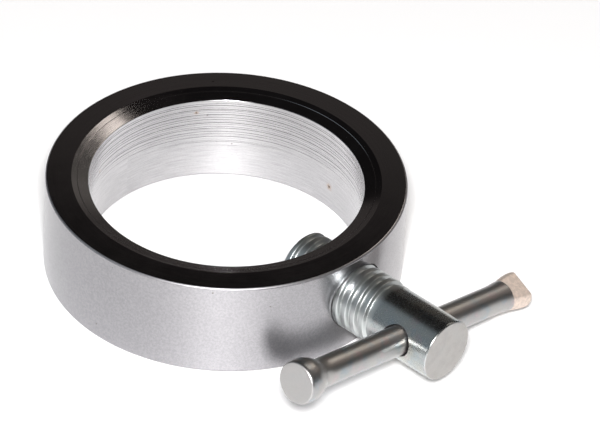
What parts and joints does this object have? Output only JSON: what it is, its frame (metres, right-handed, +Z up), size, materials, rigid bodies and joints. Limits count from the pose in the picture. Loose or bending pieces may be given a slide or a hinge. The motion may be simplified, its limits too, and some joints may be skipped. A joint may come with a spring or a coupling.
{
  "type": "shaft collar with clamp screw and tommy bar",
  "caption": "Solid shaft collar: a turned ring with a threaded clamp screw through its wall, a thrust pad at the screw's tip and a sliding tommy bar through its outer end.",
  "frame": {"origin": "on the ring's axis, in the plane of the ring's lower face", "axes": "+Z up the ring's axis, which is the shaft's axis; +X outwards along the clamp screw's axis; +Y completes a right-handed frame, towards the pressed end of the tommy bar"},
  "size_m": [0.0885, 0.0666, 0.0204],
  "materials": {
    "ring_chrome": "bright plated steel, fine turning marks",
    "screw_zinc": "zinc plated, satin, with a blue-green tint",
    "pad_steel": "plain turned steel",
    "bar_zinc": "zinc plated, satin, matt where it was pressed"
  },
  "bodies": {
    "ring": {"collar_ring": "ring_chrome"},
    "pad": {"thrust_pad": "pad_steel"},
    "screw": {"clamp_screw": "screw_zinc"},
    "bar": {"tommy_bar": "bar_zinc"}
  },
  "joints": [
    {"name": "screw_advance", "type": "slide", "parent": "ring", "child": "pad", "axis": [1, 0, 0], "range_m": [-0.00636, 0.00848]},
    {"name": "screw_turn", "type": "hinge", "parent": "pad", "child": "screw", "pos_m": [0.04782, 0, 0.01042], "axis": [1, 0, 0], "range_deg": [-1080, 1440]},
    {"name": "bar_slide", "type": "slide", "parent": "screw", "child": "bar", "axis": [0, 0.9823, -0.1874], "range_m": [-0.0177, 0.0208]}
  ],
  "couplings": [
    {"joint": "screw_advance", "follows": "screw_turn", "m_per_rad": 0.00033688}
  ]
}
